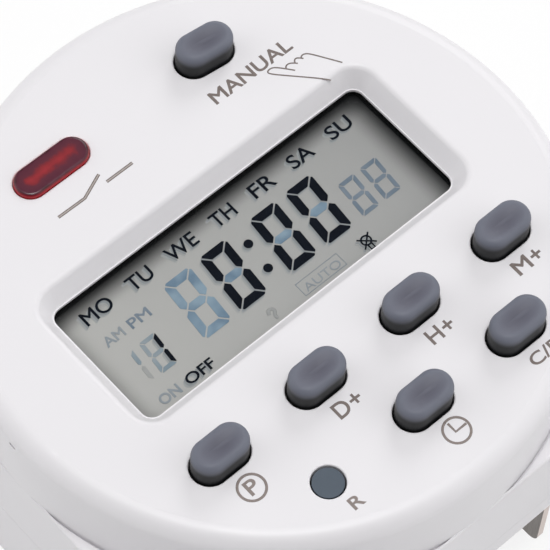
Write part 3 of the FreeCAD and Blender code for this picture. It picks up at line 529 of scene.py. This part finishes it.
def mitres(half, tall, thick, gap):
    """The cuts between a digit's segments: a point, a direction and the clearance on each side."""
    for sx in (-1, 1):
        for sy in (-1, 1):
            corner = Vector((sx * half, sy * tall, 0))
            yield corner, Vector((1, sx * sy, 0)), gap / 2
            yield corner - Vector((sx * thick * corner_cut, 0, 0)), Vector((1, -sx * sy, 0)), 0
        tip = Vector((sx * (half - thick / 2), 0, 0))
        yield tip, Vector((1, 1, 0)), gap / 2
        yield tip, Vector((1, -1, 0)), gap / 2


def segment(form, name, x, y, width, height, thick, gap):
    """Adds one segment of a digit: a bar cut along the mitres that part it from its neighbours.

    The names a to f run clockwise from the top, and g is the bar in the middle.
    """
    half, tall = width / 2, height / 2
    if name in "agd":
        side, size = 0, (width, thick)
        level = {"a": tall - thick / 2, "g": 0, "d": thick / 2 - tall}[name]
    else:
        side, size = (half - thick / 2) * (1 if name in "bc" else -1), (thick, tall)
        level = tall / 2 if name in "fb" else -tall / 2
    middle = Vector((side, level, 0))
    bar = bmesh.new()
    bmesh.ops.create_grid(bar, x_segments=1, y_segments=1, size=0.5)
    bmesh.ops.transform(bar, verts=bar.verts,
                        matrix=Matrix.Translation(middle) @ Matrix.Diagonal((size[0], size[1], 1, 1)))
    for spot, along, clear in mitres(half, tall, thick, gap):
        in_middle = abs(spot.y) < 1e-6
        if in_middle and name in "ad" or not in_middle and name == "g":
            continue
        if spot.x * side < 0 or spot.y * level < 0:
            continue
        off = Vector((along.y, -along.x, 0)).normalized()
        if off.dot(spot - middle) < 0:
            off = -off
        bmesh.ops.bisect_plane(bar, geom=bar.verts[:] + bar.edges[:] + bar.faces[:], dist=1e-6,
                               plane_co=spot - off * clear, plane_no=off, clear_outer=True)
    lift = bmesh.ops.extrude_face_region(bar, geom=bar.faces[:])
    raised = [item for item in lift["geom"] if isinstance(item, bmesh.types.BMVert)]
    bmesh.ops.translate(bar, verts=raised, vec=(0, 0, 1))
    bmesh.ops.recalc_face_normals(bar, faces=bar.faces)
    flat = bpy.data.meshes.new("segment")
    bar.to_mesh(flat)
    bar.free()
    lean = Matrix(((1, digit_lean, 0, 0), (0, 1, 0, 0), (0, 0, 1, 0), (0, 0, 0, 1)))
    add_flat(form, flat, Matrix.Translation((x * mm, y * mm, ink_z))
             @ Matrix.Diagonal((mm, mm, ink_depth, 1)) @ lean)


def crystal_ink(name, light, dark):
    """The look of the liquid crystal in one state: matt, and a little cloudy."""
    made, tree, place = blank(name)
    cloud = ranged(tree, noise(tree, place, 2.2, 2.0), (0.34, 0.66))
    return covered(made, {"Roughness": 0.5, "Specular IOR Level": 0.05},
                   {"Base Color": mixed(tree, cloud, light, dark)})


ink_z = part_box("lcd_front_polariser")[1].z
ink_depth = 0.03 * mm
on_film = (ink_z, ink_depth)
state_inks = {"driven": ("0A0F19", "10151F"), "resting": ("8C9FAE", "6F8497"),
              "greying": ("7F8995", "6C7987"), "fading": ("969EA4", "7C8C97"),
              "pale": ("9A9EA2", "8D949B"), "faint": ("A5A4A3", "9C9C9B")}
shown = {state: bmesh.new() for state in state_inks}

days_up, noon_up, state_up, auto_up = (5.97, 7.52), (3.10, 4.19), (-4.75, -3.62), (-4.58, -3.70)
days = {"MO": (-16.65, -13.29), "TU": (-11.15, -8.40), "WE": (-6.35, -2.90), "TH": (-0.79, 1.88),
        "FR": (4.12, 6.85), "SA": (8.97, 11.77), "SU": (13.90, 16.72)}
for text, across in days.items():
    word(shown["driven"], text, across, days_up, on_film, 0.011)
word(shown["driven"], "OFF", (-13.52, -10.27), state_up, on_film, 0.018)
word(shown["pale"], "AM", (-16.72, -14.44), noon_up, on_film, 0.022)
word(shown["greying"], "PM", (-13.71, -11.31), noon_up, on_film, 0.014)
word(shown["pale"], "ON", (-16.69, -14.37), state_up, on_film, 0.030)
word(shown["pale"], "AUTO", (1.15, 5.55), auto_up, on_film)
auto_frame = [(0.75, -3.25), (5.88, -3.25), (5.88, -4.75), (0.75, -4.75)]
faint_mark = [(-3.2, -4.05), (-3.1, -3.7), (-2.8, -3.6), (-2.5, -3.75), (-2.5, -4.1), (-2.9, -4.4),
              (-2.75, -4.8)]
stroke(shown["pale"], auto_frame, 0.12, on_film, closed=True)
stroke(shown["faint"], faint_mark, 0.34, on_film, smooth=True)

clock_size = {"width": 3.30, "height": 6.83, "thick": 0.90, "gap": 0.16}
program_size = {"width": 1.90, "height": 3.75, "thick": 0.43, "gap": 0.10}
seconds_size = {"width": 2.04, "height": 4.13, "thick": 0.43, "gap": 0.10}
digits = [(-7.41, 1.31, clock_size, {"resting": "abcdefg"}),
          (-2.93, 1.31, clock_size, {"driven": "abcdef", "resting": "g"}),
          (3.33, 1.31, clock_size, {"driven": "abcdef", "resting": "g"}),
          (7.83, 1.31, clock_size, {"driven": "abcdef", "resting": "g"}),
          (-16.27, -0.25, program_size, {"fading": "b", "faint": "c"}),
          (-13.55, -0.25, program_size, {"driven": "bc", "fading": "adefg"}),
          (11.73, 0.0, seconds_size, {"greying": "abcdefg"}),
          (14.54, 0.0, seconds_size, {"greying": "abcdefg"})]
for x, y, size, states in digits:
    for state, names in states.items():
        for name in names:
            segment(shown[state], name, x, y, **size)
colon_radius = 0.47 * mm
for x, y in ((0.34, 2.87), (0.03, -0.25)):
    bmesh.ops.create_cone(shown["driven"], cap_ends=True, segments=32, radius1=colon_radius,
                          radius2=colon_radius, depth=ink_depth,
                          matrix=Matrix.Translation((x * mm, y * mm, ink_z + ink_depth / 2)))

lamp_x, lamp_y = 8.97, -4.08
bulb_radius, ray_reach, ray_top, ray_foot = 0.50, 0.72, 0.58, -0.70
cap_half, cap_top, cap_foot = 0.21, -0.50, -1.05
ring(shown["driven"], lamp_x, lamp_y, bulb_radius, 0.18, on_film)
for reach in (ray_reach, -ray_reach):
    stroke(shown["driven"], [(lamp_x - reach, lamp_y + ray_top), (lamp_x + reach, lamp_y + ray_foot)],
           0.17, on_film)
lamp_cap = [(-cap_half, cap_top), (-cap_half, cap_foot), (cap_half, cap_foot), (cap_half, cap_top)]
stroke(shown["driven"], [(lamp_x + x, lamp_y + y) for x, y in lamp_cap], 0.18, on_film)

# The driven parts of the crystal throw a soft double shade on the reflector, down and to the left.
shades = [{"left": 0.42, "down": 0.22, "depth": 0.006, "light": "A6A6A6", "dark": "A0A2A2"},
          {"left": 0.22, "down": 0.12, "depth": 0.012, "light": "95979A", "dark": "8F9294"}]
for number, cast in enumerate(shades, 1):
    form = shown["driven"].copy()
    bmesh.ops.transform(form, verts=form.verts, matrix=Matrix.Translation(
        (-cast["left"] * mm, -cast["down"] * mm, ink_z))
        @ Matrix.Diagonal((1, 1, cast["depth"] * mm / ink_depth, 1)) @ Matrix.Translation((0, 0, -ink_z)))
    ink = crystal_ink("shaded_reflector_" + str(number), cast["light"], cast["dark"])
    place_piece("display_segment_shade_" + str(number), form, ink, "case")
for state, (light, dark) in state_inks.items():
    ink = crystal_ink(state + "_liquid_crystal", light, dark)
    place_piece("display_" + state + "_segments", shown[state], ink, "case")


# Window: a clear acrylic pane behind the frame of the cover, glued round its edge. A black
# border lies on its rear, and shows as a thin dark line under the far edges of the frame.
dress(clear_film("clear_acrylic_pane", "FCFDFD", 0.03), "display_window")
border_width = 1.74 * mm
border_gap = 0.01 * mm
border_depth = 0.008 * mm
low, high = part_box("display_window")
middle = centre("display_window")
form = bmesh.new()
bmesh.ops.create_grid(form, x_segments=1, y_segments=1, size=0.5, matrix=Matrix.Translation(
    (middle.x, middle.y, low.z - border_gap)) @ Matrix.Diagonal((high.x - low.x, high.y - low.y, 1, 1)))
bare = form.faces[:]
bmesh.ops.inset_region(form, faces=bare, thickness=border_width, use_even_offset=True,
                       use_boundary=True)
bmesh.ops.delete(form, geom=bare, context="FACES")
bmesh.ops.solidify(form, geom=form.faces[:], thickness=border_depth)
bmesh.ops.recalc_face_normals(form, faces=form.faces)
border_black = moulded("black_border_sheet", "0C0C0E", "121214", 0.7, 2.0, 0.2, 0.001,
                     {"Specular IOR Level": 0.1})
place_piece("window_black_border", form, border_black, "case")


# Keypad: a moulded silicone web with a carbon pill under each key, which closes a pair of
# tracks on the board when its key is pressed.
key_names = ["program", "day", "hour", "minute", "clock", "recall", "manual", "reset"]
web_grey = moulded("grey_silicone_web", "7C7E85", "74767D", 0.6, 5.0, 0.3, 0.008)
carbon = moulded("carbon_loaded_rubber", "141415", "1B1B1C", 0.7, 1.5, 0.2, 0.01)
dress(web_grey, "keypad_mat")
dress(carbon, *["pill_" + name for name in key_names])


# Keys: seven oblong keys with soft edges and a thumb dish, and the small round reset key, in grey
# silicone. A matt lacquer makes their tops a little blue. Each dish is painted darker toward its middle
# and each flank darker toward the hole, both painted shade. The manual key sits a little turned.
def raise_face(form, face, height):
    """Lifts a face straight up on new walls, and returns it."""
    lifted = bmesh.ops.extrude_face_region(form, geom=[face])["geom"]
    bmesh.ops.translate(form, verts=[item for item in lifted if isinstance(item, bmesh.types.BMVert)],
                        vec=(0, 0, height))
    return next(item for item in lifted if isinstance(item, bmesh.types.BMFace))


key_low, key_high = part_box("key_day")
key_half_width = (key_high.y - key_low.y) / 2
key_half_length = (key_high.x - key_low.x) / 2
key_round_points = 48
key_side_cuts = 7
key_lip_height = 4.1 * mm
key_lip_width = 0.3 * mm
key_edge_radius = 0.75 * mm
key_edge_steps = 10
key_crease = math.radians(40)
key_turns = {"manual": math.radians(-7)}
dish_depth = 0.34 * mm
dish_edge = 0.3 * mm
dish_rings = 5
dish_ring_width = 0.16 * mm
# Heights below the key's top over which the flank's painted shade fades in.
flank_shade_from = 1.5 * mm
flank_shade_to = 0.2 * mm


def oblong(form, x, y, z):
    """Draws the outline of an oblong key at its place, and returns its face, which looks up."""
    bmesh.ops.create_circle(form, segments=key_round_points, radius=key_half_width)
    half_step = math.radians(360 / key_round_points / 2)
    bmesh.ops.rotate(form, verts=form.verts, matrix=Matrix.Rotation(half_step, 3, "Z"))
    for side in (-1, 1):
        bmesh.ops.translate(form, verts=[vert for vert in form.verts if vert.co.x * side > 0],
                            vec=(side * (key_half_length - key_half_width), 0, 0))
    long_edges = [edge for edge in form.edges if edge.calc_length() > 1 * mm]
    bmesh.ops.subdivide_edges(form, edges=long_edges, cuts=key_side_cuts)
    bmesh.ops.translate(form, verts=form.verts, vec=(x, y, z))
    face = bmesh.ops.contextual_create(form, geom=form.edges[:])["faces"][0]
    face.normal_update()
    if face.normal.z < 0:
        face.normal_flip()
    return face


def sink_dish(form, middle):
    """Presses the dish into a key's top, and marks how deep each point of it lies."""
    reach = (key_half_length - key_lip_width - dish_edge, key_half_width - key_lip_width - dish_edge)
    dish = form.verts.layers.float.new("dish")
    for vert in form.verts:
        away = ((vert.co.x - middle.x) / reach[0]) ** 2 + ((vert.co.y - middle.y) / reach[1]) ** 2
        if vert.co.z > key_high.z - key_edge_radius and away < 1:
            vert.co.z -= dish_depth * (1 - away) ** 2
            vert[dish] = 1 - away


def dished_key(name):
    """Makes one oblong key: its lip, its body with a round edge, and the dish in its top."""
    middle = centre("key_" + name)
    form = bmesh.new()
    top = raise_face(form, oblong(form, middle.x, middle.y, key_low.z), key_lip_height)
    bmesh.ops.inset_region(form, faces=[top], thickness=key_lip_width, use_even_offset=True)
    top = raise_face(form, top, key_high.z - key_low.z - key_lip_height - key_edge_radius)
    angles = [math.pi / 2 * step / key_edge_steps for step in range(key_edge_steps + 1)]
    for before, after in zip(angles, angles[1:]):
        bmesh.ops.inset_region(form, faces=[top], use_even_offset=True,
                               thickness=key_edge_radius * (math.cos(before) - math.cos(after)),
                               depth=key_edge_radius * (math.sin(after) - math.sin(before)))
    for step in range(dish_rings):
        bmesh.ops.inset_region(form, faces=[top], thickness=dish_ring_width, use_even_offset=True)
    sink_dish(form, middle)
    bmesh.ops.rotate(form, verts=form.verts, cent=middle,
                     matrix=Matrix.Rotation(key_turns.get(name, 0), 3, "Z"))
    bmesh.ops.remove_doubles(form, verts=form.verts, dist=0.001 * mm)
    bmesh.ops.recalc_face_normals(form, faces=form.faces)
    return form


key_grey, tree, place = blank("lacquered_grey_silicone_painted_shade")
rim = mixed(tree, noise(tree, place, 3), "747783", "6D707C")
# Painted shade: the dish attribute paints each dish darker toward its middle.
painted_dish_shade = node(tree, "Attribute", {"attribute_name": "dish"}).outputs["Fac"]
top_with_dish_shade = mixed(tree, painted_dish_shade, rim, "5E5E6A")
# Painted shade: the flanks are painted near black toward the hole that shades them.
painted_flank_shade = ranged(tree, parts_of(tree, place)[2],
                 (key_high.z - flank_shade_from, key_high.z - flank_shade_to), kind="SMOOTHSTEP")
covered(key_grey, {"Roughness": 0.5, "Specular IOR Level": 0.3}, {
    "Base Color": mixed(tree, painted_flank_shade, "0E1012", top_with_dish_shade),
    "Normal": bumped(tree, noise(tree, place, 0.3, 2.0), 0.6, 0.006)})
for name in key_names[:-1]:
    key = place_piece("dished_key_" + name, dished_key(name), key_grey, "key_" + name)
    for face in key.data.polygons:
        face.use_smooth = True
    key.data.set_sharp_from_angle(angle=key_crease)
    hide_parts("key_" + name)
dress(moulded("lacquered_slate_silicone", "4F5A66", "47525E", 0.50, 2.0, 0.3, 0.006), "key_reset")


# Lamp and its lens: a red light emitting diode under an oblong lens of tinted polycarbonate,
# which is pressed into the cover. Unlit, it is maroon. Its colour is painted lighter in a streak
# over the lamp and darker toward its rim, painted light and shade through the tinted plastic, and
# bright red low on its flank, painted light through its side.
dress(moulded("red_epoxy_lamp", "C8202A", "B01822", 0.15, 2.0, 0.6, 0.003), "led_lamp")
lens_half_length = 4.17 * mm
lens_half_width = 1.67 * mm
lens_stir = (-0.30, 0.34)
# Painted light and shade: lighter over the lamp, darker toward the lens's rim.
lens_painted_light_stops = [(0.0, "9A2D34"), (0.24, "84282F"), (0.46, "5E2937"), (0.84, "562535"), (0.97, "3A141C")]
lens_flank_painted_light = (-0.30 * mm, -0.06 * mm)
lens_centre = centre("led_lens")
lens_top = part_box("led_lens")[1].z
red_lens, tree, place = blank("tinted_red_polycarbonate")
from_top = node(tree, "Mapping", {"Location": (-lens_centre.x, -lens_centre.y, -lens_top)},
                {"Vector": place}).outputs[0]
spot = parts_of(tree, from_top)
straight = lens_half_length - lens_half_width
beyond = reckon(tree, "SUBTRACT", reckon(tree, "ABSOLUTE", spot[0]), straight)
beyond = reckon(tree, "MAXIMUM", beyond, 0.0)
off_spine = node(tree, "CombineXYZ", {}, {"X": beyond, "Y": spot[1]}).outputs[0]
away = node(tree, "VectorMath", {"operation": "LENGTH"}, {0: off_spine}).outputs["Value"]
stir = ranged(tree, noise(tree, place, 0.9, 4.0), to=lens_stir)
reach = reckon(tree, "MULTIPLY_ADD", away, 1 / lens_half_width, stir)
shade = node(tree, "ValToRGB", {"stops": lens_painted_light_stops}, {"Fac": reach}).outputs[0]
# Painted light: the lower flank is painted bright red, as light comes through the side of the lens.
flank_light_share = ranged(tree, spot[2], lens_flank_painted_light)
covered(red_lens, {"Roughness": 0.28}, {"Base Color": mixed(tree, flank_light_share, "B01020", shade)})
dress(red_lens, "led_lens")


# Front cover: one moulding in the same white ABS, with the disc, the sloping frame of the
# window and the holes of keys and lens.
dress(white_abs, "front_cover")


# Signs on the face: the functions of keys and lamp, pad printed in thin grey brown ink. Fine
# marks took less ink and look paler, and the wide lines of the contact are worn in their middle.
print_depth = 0.015 * mm
core_depth = 0.019 * mm
face_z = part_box("front_cover")[1].z
on_face = (face_z, print_depth)
signs, thin_signs, cores = bmesh.new(), bmesh.new(), bmesh.new()

key_row_up = (-17.42, -15.86)
word(signs, "MANUAL", (6.80, 16.60), (14.73, 16.23), on_face, 0.017)
word(signs, "D", (-6.58, -5.05), (-17.44, -15.80), on_face, 0.015)
word(signs, "H", (4.93, 6.37), key_row_up, on_face, 0.014)
word(signs, "M", (15.86, 17.64), key_row_up, on_face, 0.016)
word(signs, "C/R", (10.38, 14.05), (-25.15, -23.86), on_face, 0.015)
word(thin_signs, "P", (-17.66, -16.48), (-17.82, -16.30), on_face, 0.016)
word(thin_signs, "R", (-11.65, -10.32), (-24.85, -23.58), on_face, 0.018)
plus_width, plus_half_length, plus_half_height = 0.26, 0.57, 0.55
for x, y in ((-4.23, -16.62), (7.25, -16.63), (18.52, -16.63)):
    stroke(signs, [(x - plus_half_length, y), (x + plus_half_length, y)], plus_width, on_face)
    stroke(signs, [(x, y - plus_half_height), (x, y + plus_half_height)], plus_width, on_face)
ring(thin_signs, -17.12, -17.12, 1.32, 0.26, on_face)
ring(thin_signs, 0.58, -25.0, 1.30, 0.25, on_face)
stroke(thin_signs, [(0.40, -23.98), (0.40, -25.05), (1.70, -25.05)], 0.25, on_face)

contact_lines = [[(-12.42, 15.19), (-9.25, 15.15), (-6.60, 16.27)], [(-6.55, 15.17), (-3.40, 15.17)]]
for line in contact_lines:
    stroke(signs, line, 0.32, on_face)
    stroke(cores, line, 0.16, (face_z, core_depth))
hand_width = 0.15
hand_lines = [[(16.86, 9.72), (16.55, 10.20), (14.60, 12.25), (13.15, 13.75), (12.75, 14.35),
               (13.30, 14.50), (13.75, 14.30), (14.45, 13.50), (15.0, 12.78)],
              [(14.45, 13.45), (14.62, 13.75), (15.10, 13.75), (15.55, 13.40), (15.72, 13.2)],
              [(15.55, 13.40), (15.65, 13.65), (16.0, 13.78), (16.38, 13.42), (16.5, 13.25)],
              [(16.38, 13.42), (16.5, 13.65), (17.05, 13.55), (17.45, 13.05), (18.1, 12.0),
               (19.02, 10.5)]]
for line in hand_lines:
    stroke(signs, line, hand_width, on_face, smooth=True)

for name, form, ink, light, dark in (
        ("face_signs", signs, "pad_print_ink", "6A5F5B", "857A75"),
        ("face_signs_thin_ink", thin_signs, "pad_print_ink_thin", "7D726E", "958A85"),
        ("contact_sign_cores", cores, "pad_print_ink_worn", "A39A96", "B3ABA7")):
    place_piece(name, form, moulded(ink, light, dark, 0.55, 0.3, 0.2, 0.001), "case")


# Case screws: four slotted screws of zinc plated steel, driven from the rear into the bosses
# of the cover. They hold cover and housing together.
dress(screw_steel, "case_screws")
